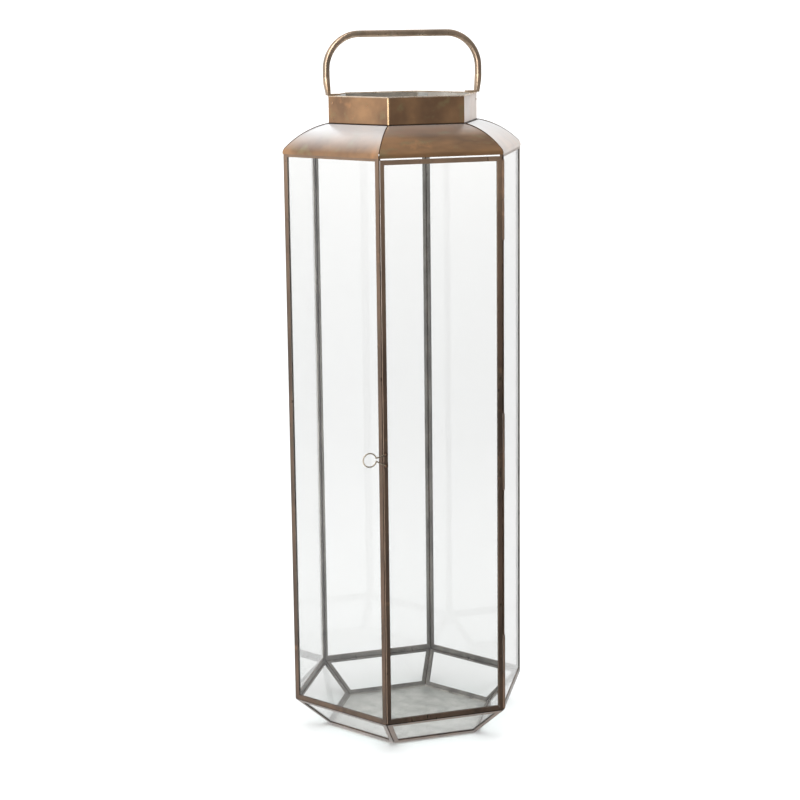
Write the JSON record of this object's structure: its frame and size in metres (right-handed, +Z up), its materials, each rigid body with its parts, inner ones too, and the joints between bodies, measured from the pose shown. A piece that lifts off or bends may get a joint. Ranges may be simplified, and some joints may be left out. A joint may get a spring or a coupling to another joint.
{
  "type": "glass lantern case",
  "caption": "Tall hexagonal glass case in soldered brass came, with a hinged glass door, sloping glass foot, curved sheet roof, open collar and fixed carrying handle.",
  "frame": {"origin": "centre of the floor's underside, on the upright axis", "axes": "+Z up along the case's axis; the door faces -Y; the handle lies in the XZ plane"},
  "size_m": [0.255, 0.2228, 0.7197],
  "materials": {
    "clear_glass": "polished float glass",
    "aged_brass_came": "satin, antiqued outside and tinned inside",
    "aged_brass_sheet": "satin, antiqued and mottled",
    "handle_brass": "satin, antiqued",
    "galvanised_sheet": "mottled galvanised",
    "dark_solder": "dull, patinated",
    "bright_solder": "satin",
    "hinge_steel": "dull",
    "pull_wire": "satin"
  },
  "bodies": {
    "case": {"floor_plate": "galvanised_sheet", "floor_solder": "bright_solder", "skirt_glass_1": "clear_glass", "skirt_glass_2": "clear_glass", "skirt_glass_3": "clear_glass", "skirt_glass_4": "clear_glass", "skirt_glass_5": "clear_glass", "skirt_glass_6": "clear_glass", "skirt_came_1": "aged_brass_came", "skirt_came_2": "aged_brass_came", "skirt_came_3": "aged_brass_came", "skirt_came_4": "aged_brass_came", "skirt_came_5": "aged_brass_came", "skirt_came_6": "aged_brass_came", "skirt_seams": "dark_solder", "rim_seam": "dark_solder", "wall_glass_1": "clear_glass", "wall_glass_2": "clear_glass", "wall_glass_3": "clear_glass", "wall_glass_4": "clear_glass", "wall_glass_5": "clear_glass", "wall_came_1": "aged_brass_came", "wall_came_2": "aged_brass_came", "wall_came_3": "aged_brass_came", "wall_came_4": "aged_brass_came", "wall_came_5": "aged_brass_came", "corner_seams": "dark_solder", "hinge_wire": "hinge_steel", "post_knuckles": "aged_brass_came", "eave_ring": "galvanised_sheet", "roof_panel_1": "aged_brass_sheet", "roof_panel_2": "aged_brass_sheet", "roof_panel_3": "aged_brass_sheet", "roof_panel_4": "aged_brass_sheet", "roof_panel_5": "aged_brass_sheet", "roof_panel_6": "aged_brass_sheet", "roof_hips": "dark_solder", "roof_solder": "dark_solder", "collar": "aged_brass_sheet", "collar_lap": "galvanised_sheet", "collar_hem": "aged_brass_sheet", "handle_tube": "handle_brass", "handle_foot_left": "handle_brass", "handle_foot_right": "handle_brass", "collar_rivets": "bright_solder"},
    "door": {"door_glass": "clear_glass", "door_bottom_rail": "aged_brass_came", "door_hinge_stile": "aged_brass_came", "door_top_rail": "aged_brass_came", "door_pull_stile": "aged_brass_came", "door_knuckles": "aged_brass_came", "door_pull": "pull_wire", "pull_solder": "bright_solder"}
  },
  "joints": [
    {"name": "door_hinge", "type": "hinge", "parent": "case", "child": "door", "pos_m": [0.06368, -0.1103, 0.3], "axis": [0, 0, 1], "range_deg": [0, 235]}
  ]
}
